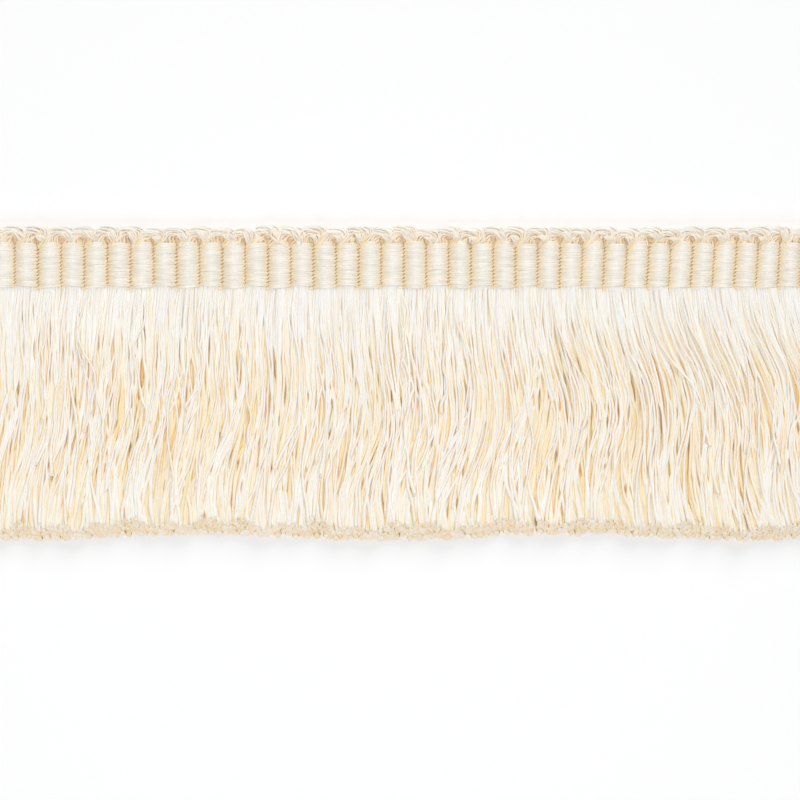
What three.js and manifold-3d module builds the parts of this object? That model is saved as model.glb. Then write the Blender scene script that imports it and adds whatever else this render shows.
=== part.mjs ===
// A cut length of chainette fringe trim, lying on its back.
// A woven heading of padded ribs carries the yarn loops that turn over its upper edge,
// and a thick skirt of cut strands hangs from its lower edge.
// Millimetres. +X runs along the length, +Y points to the loops, -Y down the skirt, +Z off the surface.
// The origin is on the heading's flat back, halfway along its length and height.

import * as THREE from "three";
import { mergeVertices } from "three/addons/utils/BufferGeometryUtils.js";
import Module from "manifold-3d";

const wasm = await Module();
wasm.setup();

// Heading
const RIB_COUNT = 38;
const FIRST_PITCH = 7.62; // rib pitch at the left end
const LAST_PITCH = 7.01; // rib pitch at the right end
const HEADING_HEIGHT = 15.3;
const RIB_THICKNESS = 3.2; // at a rib's crest
const VALLEY_THICKNESS = 1.1; // where the bound line between two ribs is thinnest
const BACK_GROOVE = 0.45; // depth of the groove behind each bound line
const EDGE_ROUND = 0.9; // how far the long edges are rounded off
const EDGE_UNEVEN = 0.22; // how far the long edges wander
const EDGE_WAVE = 15.5; // length of that wander
const VALLEY_LEAN = 1.0; // how far the top of a bound line leans over at the right end
const LEAN_FROM = 35; // where along X the lean begins
const LEAN_TO = 80; // and where it is full
const SEAT_GAP = 0.3; // between one piece and the next

// Loops over the upper edge
const LOOP_RADIUS = 1.25;
const LOOP_SIDES = 5;
const WEB_HEIGHT = 2.3; // the yarns that pass from rib to rib under the loops
const WEB_LOW = 0.25;
const WEB_HIGH = 1.9;

// Skirt
const SKIRT_DROP = 81.6; // from the heading's lower edge to the longest ends
const ROOT_STRIP = 1.7; // height of the strip that holds the roots
const ROOT_CREST = 2.8; // its thickness below a rib
const ROOT_VALLEY = 2.2; // and below a bound line
const STRANDS_IN_LAYER = 140;
const STRAND_FILL = 0.76; // share of its own room that a strand takes
const HEM_WAVE = 1.0; // how far the cut edge rises and falls
const HEM_WAVE_LENGTH = 119;
const HEM_LOWEST_AT = -123; // where along X the cut edge first hangs lowest
const CUT_SLANT = 0.75; // how far the cut climbs the front for each millimetre of thickness
const END_UNEVEN = 0.7;
const SIDE_MARGIN = 0.6; // the outermost strands start this far inside the ends

const LENGTH = (RIB_COUNT * (FIRST_PITCH + LAST_PITCH)) / 2;

const smooth = (from, to, v) => THREE.MathUtils.smoothstep(v, from, to);
const chance = (n) => {
  const s = Math.sin(n * 12.9898 + 4.1) * 43758.5453;
  return s - Math.floor(s);
};

// The bound line between rib k - 1 and rib k, with the pitch shrinking evenly from left to right.
const valleyX = (k) =>
  FIRST_PITCH * k + ((LAST_PITCH - FIRST_PITCH) * k * k) / (2 * RIB_COUNT) - LENGTH / 2;
const leanX = (x, y) => (VALLEY_LEAN * smooth(LEAN_FROM, LEAN_TO, x) * y) / HEADING_HEIGHT;
const upperEdge = (x) => HEADING_HEIGHT / 2 + EDGE_UNEVEN * Math.sin((2 * Math.PI * x) / EDGE_WAVE);
const lowerEdge = (x) => -HEADING_HEIGHT / 2 + EDGE_UNEVEN * Math.sin((2 * Math.PI * x) / EDGE_WAVE + 2);

// Six times the volume that a skin's faces close in, less than nothing when they face inwards.
function signedVolume(points, faces) {
  let sum = 0;
  for (let f = 0; f < faces.length; f += 3) {
    const [a, b, c] = [0, 1, 2].map((i) => new THREE.Vector3(...points[faces[f + i]]));
    sum += a.dot(b.cross(c));
  }
  return sum;
}

// A closed skin over rings of equal size, given as [x, y, z] points, with a fan over each end.
// The rings may run either way round: the faces are turned outwards at the end.
function loft(rings) {
  const sides = rings[0].length;
  const faces = [];
  for (let r = 0; r + 1 < rings.length; r++)
    for (let s = 0; s < sides; s++) {
      const t = (s + 1) % sides;
      const [a, b] = [r * sides + s, r * sides + t];
      const [c, d] = [a + sides, b + sides];
      faces.push(a, b, d, a, d, c);
    }
  const last = (rings.length - 1) * sides;
  for (let s = 1; s + 1 < sides; s++) {
    faces.push(0, s + 1, s);
    faces.push(last, last + s, last + s + 1);
  }
  if (signedVolume(rings.flat(), faces) < 0) faces.reverse();
  const geometry = new THREE.BufferGeometry();
  geometry.setAttribute("position", new THREE.Float32BufferAttribute(rings.flat(2), 3));
  geometry.setIndex(faces);
  return geometry;
}

function solidOf(geometry) {
  const bare = geometry.clone();
  bare.deleteAttribute("normal");
  bare.deleteAttribute("uv");
  const merged = mergeVertices(bare, 1e-4);
  return new wasm.Manifold(
    new wasm.Mesh({
      numProp: 3,
      vertProperties: new Float32Array(merged.attributes.position.array),
      triVerts: new Uint32Array(merged.index.array),
    }),
  );
}

function fused(geometries) {
  const mesh = wasm.Manifold.union(geometries.map(solidOf)).getMesh();
  const geometry = new THREE.BufferGeometry();
  geometry.setAttribute("position", new THREE.BufferAttribute(new Float32Array(mesh.vertProperties), 3));
  geometry.setIndex(new THREE.BufferAttribute(new Uint32Array(mesh.triVerts), 1));
  return geometry;
}

function piece(name, geometry, color, roughness) {
  const material = new THREE.MeshStandardMaterial({ color, roughness, metalness: 0 });
  const mesh = new THREE.Mesh(geometry, material);
  mesh.name = name;
  geometry.computeVertexNormals();
  return mesh;
}

// Heading: one band, a section of the band at each station across every rib.
// A row for each station: how far across the rib it lies, and how far the rib has swelled there.
const RIB_STATIONS = [
  { across: 0, swell: 0 },
  { across: 0.12, swell: 0.6 },
  { across: 0.36, swell: 1 },
  { across: 0.64, swell: 1 },
  { across: 0.88, swell: 0.6 },
];

function headingSection(x, swell) {
  const back = swell > 0 ? 0 : BACK_GROOVE;
  const front = BACK_GROOVE + VALLEY_THICKNESS + (RIB_THICKNESS - BACK_GROOVE - VALLEY_THICKNESS) * swell;
  const round = Math.min(EDGE_ROUND, (front - back) * 0.3);
  const [low, high] = [lowerEdge(x), upperEdge(x)];
  const outline = [
    [low, back + round],
    [low, front - round],
    [low + round, front],
    [high - round, front],
    [high, front - round],
    [high, back + round],
    [high - round, back],
    [low + round, back],
  ];
  return outline.map(([y, z]) => [x + leanX(x, y), y, z]);
}

function heading() {
  const sections = [];
  for (let k = 0; k < RIB_COUNT; k++)
    for (const { across, swell } of RIB_STATIONS)
      sections.push(headingSection(THREE.MathUtils.lerp(valleyX(k), valleyX(k + 1), across), swell));
  sections.push(headingSection(valleyX(RIB_COUNT), 0));
  return loft(sections);
}

// Loop edge: a bundle of yarn climbs out of each rib, arches over the bound line beside it
// and comes down on the front of the next rib. A web of the same yarn fills the feet of the arches.
// A row for each point of the arch: across in rib pitches, up from the web's foot, and out from the back.
const ARCH = [
  { across: -0.42, up: 0.9, out: 1.3 },
  { across: -0.31, up: 2.6, out: 1.5 },
  { across: -0.02, up: 3.55, out: 1.9 },
  { across: 0.27, up: 2.6, out: 2.2 },
  { across: 0.36, up: 1.3, out: 2.0 },
];

function arch(k) {
  const pitch = valleyX(k + 1) - valleyX(k);
  const foot = upperEdge(valleyX(k)) + SEAT_GAP;
  const tall = 1 + 0.08 * (2 * chance(k) - 1);
  const points = ARCH.map(({ across, up, out }) => {
    const x = valleyX(k) + across * pitch;
    return new THREE.Vector3(x + leanX(x, foot), foot + up * tall, out);
  });
  const rings = points.map((p, i) => {
    const along = points[Math.min(i + 1, points.length - 1)].clone().sub(points[Math.max(i - 1, 0)]).normalize();
    const wide = new THREE.Vector3().crossVectors(along, new THREE.Vector3(0, 0, 1)).normalize();
    const high = new THREE.Vector3().crossVectors(wide, along);
    return Array.from({ length: LOOP_SIDES }, (_, s) => {
      const turn = (2 * Math.PI * s) / LOOP_SIDES;
      return p
        .clone()
        .addScaledVector(wide, LOOP_RADIUS * Math.cos(turn))
        .addScaledVector(high, LOOP_RADIUS * Math.sin(turn))
        .toArray();
    });
  });
  return loft(rings);
}

function web() {
  const stations = Array.from({ length: 2 * RIB_COUNT + 1 }, (_, i) =>
    i % 2 ? (valleyX((i - 1) / 2) + valleyX((i + 1) / 2)) / 2 : valleyX(i / 2),
  );
  return loft(
    stations.map((x) => {
      const foot = upperEdge(x) + SEAT_GAP;
      const outline = [
        [foot, WEB_LOW],
        [foot, WEB_HIGH],
        [foot + WEB_HEIGHT, WEB_HIGH],
        [foot + WEB_HEIGHT, WEB_LOW],
      ];
      return outline.map(([y, z]) => [x + leanX(x, foot), y, z]);
    }),
  );
}

function loopEdge() {
  const arches = Array.from({ length: RIB_COUNT - 1 }, (_, i) => arch(i + 1));
  return fused([web(), ...arches]);
}

// Skirt: where a strand that starts at rootX has got to, a share t of the way down.
// The whole skirt sweeps one way along the trim, sways to the right and back, and gathers in locks.
const sweep = (x) =>
  -0.07 + 0.07 * smooth(-60, 0, x) + 0.22 * smooth(20, 90, x) - 0.12 * smooth(95, 150, x);
const SWAY = 1.54;
const SWAY_TURNS = 1.1;
const LOCK_SPREAD = 0.4;

function strandX(rootX, t, layer) {
  const swept = SKIRT_DROP * (sweep(rootX) + layer.lean) * (t - 0.225 * t * t);
  const swayed = SWAY * (1 - Math.cos(2 * Math.PI * SWAY_TURNS * t));
  const locked = LOCK_SPREAD * t * Math.sin((2 * Math.PI * rootX) / layer.lockWidth + layer.phase);
  return rootX + swept + swayed + locked;
}

// A row for each layer of strands: the way it leans more than the rest, the width of its locks,
// and its lowest and highest points at the roots and at the ends.
const LAYERS = [
  { lean: -0.012, lockWidth: 13, phase: 0.4, rootLow: 0, rootHigh: 1.0, endLow: 0, endHigh: 2.5, tip: -1 },
  { lean: 0.02, lockWidth: 17, phase: 2.1, rootLow: 1.35, rootHigh: 2.1, endLow: 2.85, endHigh: 5.3, tip: 1 },
];
const STRAND_STEPS = [0, 0.3, 0.65, 1];
const SWELL_BY = 0.5; // share of the drop by which the skirt has reached its full thickness

const hemY = (x) =>
  -HEADING_HEIGHT / 2 - SKIRT_DROP + HEM_WAVE * (1 - Math.cos((2 * Math.PI * (x - HEM_LOWEST_AT)) / HEM_WAVE_LENGTH));

function strand(index, layer) {
  const room = (LENGTH - 2 * SIDE_MARGIN) / STRANDS_IN_LAYER;
  const rootX = -LENGTH / 2 + SIDE_MARGIN + room * (index + 0.5);
  const rootY = lowerEdge(rootX) - SEAT_GAP - ROOT_STRIP / 2;
  const shorter = END_UNEVEN * chance(index + 500 * (layer.tip + 1));
  return loft(
    STRAND_STEPS.map((t) => {
      const left = strandX(rootX - room / 2, t, layer);
      const right = strandX(rootX + room / 2, t, layer);
      const middle = (left + right) / 2 + leanX(rootX, rootY) * (1 - t);
      const half = ((right - left) * STRAND_FILL) / 2;
      const swell = smooth(0, SWELL_BY, t);
      const low = THREE.MathUtils.lerp(layer.rootLow, layer.endLow, swell);
      const high = THREE.MathUtils.lerp(layer.rootHigh, layer.endHigh, swell);
      const [flat, point] = layer.tip > 0 ? [high, low] : [low, high];
      const y = (z) =>
        t < 1 ? THREE.MathUtils.lerp(rootY, hemY(rootX), t) : hemY(middle) + CUT_SLANT * z + shorter;
      const outline = [
        [middle - half, flat],
        [middle + half, flat],
        [middle, point],
      ];
      return outline.map(([x, z]) => [x, y(z), z]);
    }),
  );
}

function rootStrip() {
  const stations = [];
  for (let k = 0; k < RIB_COUNT; k++)
    stations.push(
      { x: valleyX(k), thick: ROOT_VALLEY },
      { x: (valleyX(k) + valleyX(k + 1)) / 2, thick: ROOT_CREST },
    );
  stations.push({ x: valleyX(RIB_COUNT), thick: ROOT_VALLEY });
  return loft(
    stations.map(({ x, thick }) => {
      const head = lowerEdge(x) - SEAT_GAP;
      const outline = [
        [head - ROOT_STRIP, 0],
        [head - ROOT_STRIP, thick],
        [head, thick],
        [head, 0],
      ];
      return outline.map(([y, z]) => [x + leanX(x, head), y, z]);
    }),
  );
}

function skirt() {
  const strands = LAYERS.flatMap((layer) =>
    Array.from({ length: STRANDS_IN_LAYER }, (_, index) => strand(index, layer)),
  );
  return fused([rootStrip(), ...strands]);
}

const trim = new THREE.Group();
trim.add(
  piece("heading", heading(), 0xede1cd, 0.55),
  piece("loop_edge", loopEdge(), 0xeadbc5, 0.6),
  piece("skirt", skirt(), 0xf4ebdb, 0.7),
);

export default trim;
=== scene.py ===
"""Chainette fringe trim, laid on its back on a white table and seen from straight above.

Every yarn is a tube of its own: warp threads bound over padded ribs, bundles of weft yarn looping
over the heading's upper edge, and a skirt of cut yarn in layers. Metres, in the frame of the part.
"""

from functools import partial
from typing import NamedTuple

import bpy
import numpy as np
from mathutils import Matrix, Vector

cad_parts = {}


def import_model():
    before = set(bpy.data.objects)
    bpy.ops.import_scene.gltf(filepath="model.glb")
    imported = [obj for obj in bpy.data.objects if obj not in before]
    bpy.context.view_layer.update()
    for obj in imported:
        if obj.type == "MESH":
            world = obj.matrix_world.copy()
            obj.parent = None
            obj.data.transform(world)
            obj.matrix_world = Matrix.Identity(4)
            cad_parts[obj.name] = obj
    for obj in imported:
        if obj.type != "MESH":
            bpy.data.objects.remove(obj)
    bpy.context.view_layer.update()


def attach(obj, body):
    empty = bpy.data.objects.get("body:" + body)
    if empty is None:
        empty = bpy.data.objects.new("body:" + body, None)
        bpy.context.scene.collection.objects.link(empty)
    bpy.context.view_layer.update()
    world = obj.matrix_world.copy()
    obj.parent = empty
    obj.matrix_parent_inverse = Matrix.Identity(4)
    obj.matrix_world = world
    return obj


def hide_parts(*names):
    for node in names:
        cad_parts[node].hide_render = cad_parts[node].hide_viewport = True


MM = 0.001
TURN = 2 * np.pi
YARN_SEED = 4

# The heading and the drop, as in the part's source
RIB_COUNT = 38
FIRST_PITCH = 7.62 * MM
LAST_PITCH = 7.01 * MM
HEADING_HEIGHT = 15.3 * MM
EDGE_UNEVEN = 0.22 * MM
EDGE_WAVE = 15.5 * MM
LOWER_EDGE_PHASE = 2
VALLEY_LEAN = 1.0 * MM
LEAN_FROM = 35 * MM
LEAN_TO = 80 * MM
SKIRT_DROP = 81.6 * MM
HEM_WAVE = 1.0 * MM
HEM_WAVE_LENGTH = 119 * MM
HEM_LOWEST_AT = -123 * MM
LENGTH = RIB_COUNT * (FIRST_PITCH + LAST_PITCH) / 2

# Every yarn: how fast the golden painted shade of its flanks fades towards its top, and the middle and
# the radius of the disc that a cap fills in the UV map
FLANK_POWER = 1.8
CAP_MIDDLE = 0.5
CAP_RADIUS = 0.4

# The padded core: its thickness at a rib's crest and in a valley, how far it stays above the table
# and inside the heading's edges, and the powers that square its section, outwards and upwards
CORE_CREST = 2.5 * MM
CORE_VALLEY = 0.75 * MM
CORE_LIFT = 0.25 * MM
CORE_INSET = 0.15 * MM
CORE_STEPS = 12
CORE_SIDES = 28
CORE_SQUARE_OUT = 0.35
CORE_SQUARE_UP = 0.6
# The core's marks: light, golden, own number and cap. Dark and wholly golden, a painted shade for the core
# that shows deep in the valleys.
CORE_MARKS = (0.6, 1.0, 0.5, 0.0)

# The warp: the heights of a thread's middle over a rib, in a valley and behind a rib, and half its
# width and half its thickness. Each of its ends is two threads.
WARP_ENDS = 26
WARP_SIDES = 6
WARP_CREST = 2.86 * MM
WARP_VALLEY = 1.25 * MM
WARP_BACK = 0.2 * MM
WARP_WIDE = 0.36 * MM
WARP_THICK = 0.18 * MM
WARP_ROUND = 0.55
WARP_SPAN = 0.985
WARP_INSET = 0.1 * MM
WARP_TURNS = 0.31
WARP_UNEVEN_ACROSS = 0.03 * MM
WARP_UNEVEN_UP = 0.045 * MM
EDGE_DROP = 0.5 * MM
EDGE_DROP_RANGE = (0.86, 1.02)
# Where a thread has its rings, as shares of the way over a rib or under it
OVER_STEPS = (0, 0.022, 0.05, 0.085, 0.15, 0.32, 0.5, 0.68, 0.85, 0.915, 0.95, 0.978)
UNDER_STEPS = (0, 0.04, 0.2, 0.8, 0.96)
# The twisted column at a bound line: its tightest part and its half width, as shares of a rib, then
# how far an end's two threads lie from its middle there and how much further over a rib, as shares
# of the ends' pitch
COLUMN_TIGHT = 0.02
COLUMN = 0.1
COLUMN_SLANT = 0.16 * MM
THREADS_APART = 0.16
THREADS_SPREAD = 0.34
# A thread's width and thickness in the column, as shares of those over a rib
COLUMN_WIDE = 0.74
COLUMN_THICK = 1.3
# Where the column's golden painted shade begins to fade, as a share of its half width
COLUMN_CORE = 0.6
# How light and how golden the warp is, in painted light and shade: a painted highlight near the crest
# and in the column, painted shade beyond the crest, golden painted shade in the column and on the
# rib's flanks, dark painted shade under a rib, and a little golden painted shade at each thread's
# flanks. A range is of shares of the way over a rib.
WARP_LIGHT = 0.92
SHINE = 0.06
SHINE_AT = 0.53
SHINE_WIDE = 0.17
COLUMN_HIGHLIGHT = 0.1
SHADE = 0.035
SHADE_RANGE = (0.58, 0.78)
UNDER_SHADE_LIGHT = 0.6
WARP_STREAKS = 0.05
WARP_STREAK_TURNS = 0.45
COLUMN_GOLDEN_SHADE = 0.25
LEFT_FLANK_SHADE = 0.43
LEFT_RANGE = (0.08, 0.5)
RIGHT_FLANK_SHADE = 0.33
RIGHT_RANGE = (0.6, 0.92)
WARP_FLANK_SHADE = 0.15

# The loop edge: over each bound line an arch, a tuft in front of it and a low bundle under it
LOOP_COUNT = RIB_COUNT + 1
ARCH_YARNS = 14
TUFT_YARNS = 4
LOW_SHARES = (0.1, 0.24, 0.38, 0.52)
LOOP_RISE = 4.8 * MM
LOOP_STEPS = 17
LOOP_SIDES = 5
LOOP_RADIUS = 0.39 * MM
LOOP_FLAT = 0.9
# How much more golden a loop yarn is at its flanks: painted shade
LOOP_FLANK_SHADE = 0.25
LOW_STOUT = 1.5
MESSY_LOOPS = (13, 14)
# An arch's half width in shares of the pitch, its bundle's twist in turns and half its depth
ARCH_WIDE = 0.64
ARCH_TWIST = 0.8
ARCH_DEEP = 0.65 * MM
# As shares of the arch's line: half the bundle's width over the top, how much more at the feet and
# the power with which that fades, where its outermost yarn runs, and how low its innermost one stays
BUNDLE_HALF = 0.33
FEET_WIDER = 0.15
FEET_POWER = 1.5
OUTERMOST = 1.02
INNERMOST_RISE = 0.12
# How far from the bundle's middle every third yarn and the inside one turn, as shares of its width
THIRD_REACH = 0.55
INSIDE_REACH = 0.1
# The height of the bundle's middle over the top in millimetres, how much lower it is at the feet,
# and how much higher at the arch's right end
BUNDLE_HEIGHT = 1.75
FEET_LOWER = 0.35
END_HIGHER = 0.35
# How uneven arches are: the rise, the twist and the place of each, and each yarn's wander in angle,
# in share of the arch and in golden
ARCH_UNEVEN = (0.05, 0.15, 0.02)
ARCH_WANDERS = (0.25, 0.03, 0.1)
LOOP_TURNS = 1.1
MESSY_RISE = 0.14
# How golden an arch is, a painted shade: anywhere, more at its feet, and more for inner yarns, by their
# share
ARCH_GOLDEN_SHADE = (0.1, 0.75, 0.42)
INNER_RANGE = (0.45, 0.85)
# A tuft: its width and how much wider it is halfway, in shares of the pitch, how far up the picture
# each such share also moves a yarn, then its height and its reach to the right, against its line's
TUFT_APART = 0.1
TUFT_OPENS = 0.16
TUFT_FAN_UP = 1.1 * MM
TUFT_TALL = 0.9
TUFT_OUT = 0.85
# How uneven tufts are: the height, the place and the reach of each, and each yarn's wander sideways
# and up from the table
TUFT_UNEVEN = (0.22, 0.06, 0.3)
TUFT_WANDER = 0.02
TUFT_LIFT = 0.18 * MM
# How golden a tuft is, a painted shade: anywhere, and more at its root, over this share of its way
TUFT_GOLDEN_SHADE = (0.36, 0.5)
TUFT_ROOT_RANGE = (0, 0.35)
# A messy tuft: how much more it wanders, how much taller it is, and how far its ends stand up, in
# millimetres, and fall back
MESSY_WANDER = 2
MESSY_TALL = 0.35
MESSY_UP = 1.1
MESSY_BACK = 0.3 * MM
MESSY_RANGE = (0.6, 1.0)
# The low yarns: as for an arch, then their height in millimetres and how it differs among them
LOW_WIDE = 0.6
LOW_RISE = 0.1
LOW_HEIGHT = 0.75
LOW_HEIGHT_UNEVEN = 0.15
LOW_HEIGHT_RATE = 9
# Every loop yarn: how uneven its radius is and how light it is, each with its wander's turns
RADIUS_UNEVEN = 0.07
RADIUS_TURNS = 2.0
LOOP_LIGHT = 0.97
LOOP_STREAKS = 0.05
LOOP_STREAK_TURNS = 0.6
LOOP_CLEAR = 0.05 * MM
# An arch's line, in shares of its half width and of its height, and a tuft's line, in shares of the
# pitch from its bound line and in millimetres up and out. A negative height is in millimetres too.
ARCH = np.array([
    [-0.72, -1.5],
    [-0.82, 0.0],
    [-1.0, 0.45],
    [-0.76, 0.88],
    [-0.04, 1.0],
    [0.72, 0.90],
    [1.0, 0.48],
    [0.82, 0.0],
    [0.72, -1.5],
])
TUFT = np.array([
    [-0.10, 2.4, 1.9],
    [0.02, 2.9, 2.4],
    [0.16, 2.5, 2.9],
    [0.27, 1.4, 2.9],
    [0.33, 0.5, 2.2],
    [0.34, -0.9, 1.2],
])

# The skirt: a yarn's half width and how flat it is, and how far the cut climbs for each millimetre up
YARN = 0.48 * MM
YARN_FLAT = 0.80
CUT_SLANT = 1.15


class Layer(NamedTuple):
    """One layer of the skirt.

    The heights are those of a yarn's middle at its root and on the way down, in millimetres. wide is
    against YARN, golden, a painted shade strongest in the deep layers, runs from 0 to 1, and stray is
    roughly in millimetres.
    """

    root_height: float
    down_height: float
    yarns: int
    rings: int
    sides: int
    wide: float
    golden_shade: float
    stray: float


# From the table up, less golden as they lie higher: a painted shade of the deep layers
LAYERS = {
    "skirt_layer_1": Layer(0.40, 0.50, 270, 12, 6, 1.36, 0.72, 0.6),
    "skirt_layer_2": Layer(0.80, 1.28, 270, 13, 5, 1.34, 0.70, 0.8),
    "skirt_layer_3": Layer(1.25, 1.96, 286, 17, 5, 1.24, 0.70, 1.0),
    "skirt_layer_4": Layer(1.65, 2.54, 300, 22, 5, 1.28, 0.64, 1.3),
    "skirt_layer_5": Layer(1.95, 2.89, 300, 27, 5, 1.20, 0.46, 1.6),
    "skirt_layer_6": Layer(2.18, 3.13, 328, 32, 6, 1.05, 0.30, 1.9),
    "skirt_layer_7": Layer(2.40, 3.45, 336, 40, 6, 0.96, 0.05, 2.3),
}
STRAYS = Layer(2.3, 3.9, 90, 42, 6, 0.92, 0.0, 3.0)
# From the table up, every two layers share one drift. The strays have their own.
DRIFT_SEED = 20
DRIFT_SHARED_BY = 2
STRAY_DRIFT_SEED = 31
# How unevenly the roots are spaced, the share of the length that they fill, and the short strays
ROOT_UNEVEN = 0.28
ROOTS_FILL = 0.992
STRAYS_REACH_OUT = 0.485
SHORT_STRAYS = 0.45
SHORT_REACH = (0.5, 0.93)

# How the skirt leans, in degrees to the right, at shares of its drop and at three places along it
LEAN_AT = (0, 0.085, 0.183, 0.305, 0.427, 0.549, 0.67, 0.79, 0.915, 1)
LEAN_LEFT = (-6, -5.5, -0.5, 0.5, -2, -6, -13.5, -11, -3, 0)
LEAN_MIDDLE = (-3, -1, 2.7, 7.5, 5, -4, -14.5, -11, 0, 2)
LEAN_RIGHT = (8, 12, 18, 24, 13, 3, -4, 1, 6, 8)
LEFT_TO_MIDDLE = (-70 * MM, 0)
MIDDLE_TO_RIGHT = (20 * MM, 100 * MM)
LEAN_STEPS = 200

# How yarns lie in a layer. A range is of shares of the drop, unless it says otherwise.
# The drift's waves: width in millimetres, turns on the way down, size in millimetres
DRIFT_WAVES = ((46, 0.5, 1.0), (27, 0.9, 0.9), (15, 1.3, 0.6), (9, 1.7, 0.35))
DRIFT_RANGE = (0, 0.75)
# Locks: their widths in millimetres, more of them than the trim holds, where the first begins, and
# how strongly each one draws its yarns to its middle
LOCK_WIDTHS = (2.0, 6.0)
LOCK_COUNT = 100
LOCKS_BEFORE = 3 * MM
LOCK_PULL = (0.1, 0.42)
LOCK_TURNS = 0.6
LOCK_WANDER = 0.75
GROWN_RANGE = (0, 0.7)
# Near the trim's ends, a range of x, yarns stray this share less
CALM_RANGE = (0.455 * LENGTH, 0.49 * LENGTH)
CALM = 0.8
# A yarn's own long wander, as a share of its stray, and its short one
LONG_WANDER = 0.3
LONG_TURNS = 0.7
SHORT_WANDER = 0.27 * MM
SHORT_TURNS = 3.1
SHORT_RANGE = (0.02, 0.2)
# Its tilt, as a share of the drop for each millimetre of stray, and the few that tilt far more
TILT = 0.006
WILD_SHARE = 0.08
WILD_TILT = 2.5
KINK_AT = (0.3, 0.95)
KINK_LENGTH = 0.05
KINK = 0.5 * MM
# The fan at the root, in millimetres, and the pull towards the rib's middle
FAN = 0.9
FAN_UNEVEN = 0.35
FAN_RANGE = (0, 0.24)
ROOT_PULL = 0.05
ROOT_PULL_RANGE = (0, 0.06)
# Heights: a root's in a valley and how much more on a crest, as shares of its layer's, the way up to
# the layer, and the wander
ROOT_LOW = 0.38
ROOT_SWELL = 0.62
ROOT_ROUND = 0.6
CLIMB_RANGE = (0, 0.42)
LIFT_WANDER = 0.3 * MM
LIFT_TURNS = 0.8
LIFT_RANGE = (0.05, 0.4)
ROOT_INSIDE = 1.6 * MM
TABLE_CLEAR = 0.02 * MM

# A yarn's half width: thinner by a share at its root, then a little less thin, uneven from yarn to
# yarn and along each, and swelling at the cut, more so in golden layers
THIN = 0.92
THIN_LESS = 0.04
THIN_RANGE = (0, 0.4)
YARN_UNEVEN = 0.07
WIDE_UNEVEN = 0.05
WIDE_TURNS = 3.0
CUT_SWOLLEN = 0.5
CUT_SWOLLEN_GOLDEN = 0.25
CUT_SWOLLEN_RANGE = (0.74, 1.0)
# Its light, a little less in half golden layers, a painted shade, and how golden it is, a painted shade:
# at its root as a share, less above the cut, a little at the cut, and its wander. Its flanks' golden
# painted shade: at the root, below it, at the cut.
HALF_GOLDEN_SHADE = 0.13
LIGHT_UNEVEN = 0.02
ROOT_GOLDEN_SHADE = 0.32
ROOT_GOLDEN_RANGE = (0.05, 0.5)
ABOVE_CUT_LESS = 0.3
ABOVE_CUT_RANGE = (0.7, 0.95)
CUT_GOLDEN = 0.1
CUT_RANGE = (0.8, 1.0)
GOLDEN_WANDER = 0.14
GOLDEN_TURNS = 0.8
FLANK_ROOT = 0.32
FLANK_MORE = 0.5
FLANK_RANGE = (0.05, 0.45)
FLANK_CUT_LESS = 0.2

# The cut: the swell of its slant as size, wave in millimetres and phase, and the unevenness from
# yarn to yarn as size, radians for each millimetre and phase
CUT_SWELL = ((0.22, 31, 0.6), (0.2, 12.1, 1.9))
CUT_UNEVEN = ((0.45, 91.7, 0), (0.35, 37.1, 1))
CUT_UNEVEN_LOW = 0.2 * MM
CUT_UNEVEN_RISE = 0.2


def smooth(low, high, v):
    """0 below low, 1 above high, and 3s^2 - 2s^3 between, where s is how far v has got from low to high."""
    s = np.clip((v - low) / (high - low), 0, 1)
    return s * s * (3 - 2 * s)


def bound_line_x(k):
    """Where bound line k crosses the heading's middle: k pitches along, the pitch shrinking evenly."""
    return FIRST_PITCH * k + (LAST_PITCH - FIRST_PITCH) * k * k / (2 * RIB_COUNT) - LENGTH / 2


def rib_place(x):
    """The rib that holds x and how far across it x lies, as one number: bound_line_x turned round.

    The root of a quadratic: 2c / (b + sqrt(b^2 + 4ac)), with a half the pitch's shrinkage from rib to
    rib, b the first pitch and c the distance from the left end.
    """
    a = (LAST_PITCH - FIRST_PITCH) / (2 * RIB_COUNT)
    c = x + LENGTH / 2
    return 2 * c / (FIRST_PITCH + np.sqrt(FIRST_PITCH**2 + 4 * a * c))


def lean(x, y):
    """How far the heading's ribs lean over: in proportion to y, and only towards the right end."""
    return VALLEY_LEAN * smooth(LEAN_FROM, LEAN_TO, x) * y / HEADING_HEIGHT


def upper_edge(x):
    """The heading's upper edge: half its height, uneven as a sine wave along the trim."""
    return HEADING_HEIGHT / 2 + EDGE_UNEVEN * np.sin(TURN * x / EDGE_WAVE)


def lower_edge(x):
    """The heading's lower edge: as the upper edge, but below the middle and out of step with it."""
    return -HEADING_HEIGHT / 2 + EDGE_UNEVEN * np.sin(TURN * x / EDGE_WAVE + LOWER_EDGE_PHASE)


def hem(x):
    """The longest ends: the drop below the heading, rising and falling as a cosine along the trim."""
    wave = HEM_WAVE * (1 - np.cos(TURN * (x - HEM_LOWEST_AT) / HEM_WAVE_LENGTH))
    return -HEADING_HEIGHT / 2 - SKIRT_DROP + wave


def unit(v):
    """Vectors scaled to a length of one."""
    return v / np.maximum(np.linalg.norm(v, axis=-1, keepdims=True), 1e-12)


def wander(rng, count, t, turns, size=1.0):
    """A smooth sideways wander for each of count yarns: three sine waves of t with random phases.

    Their frequencies are about turns, twice turns and three times turns, each half the size of the last.
    """
    total = np.zeros((count, len(t)))
    for octave in range(3):
        rate = turns * (octave + 1) * rng.uniform(0.7, 1.3, (count, 1))
        phase = rng.uniform(0, TURN, (count, 1))
        weight = size * 0.5**octave * rng.normal(0, 0.8, (count, 1))
        total += weight * np.sin(TURN * rate * t + phase)
    return total


def yarn_marks(rng, light, golden_shade):
    """Yarns x rings x 3: how light each yarn is, how golden it is, a painted shade, and a random number of
    its own.
    """
    own = rng.uniform(0, 1, (len(light), 1))
    return np.stack(np.broadcast_arrays(light, golden_shade, own), axis=-1)


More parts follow.
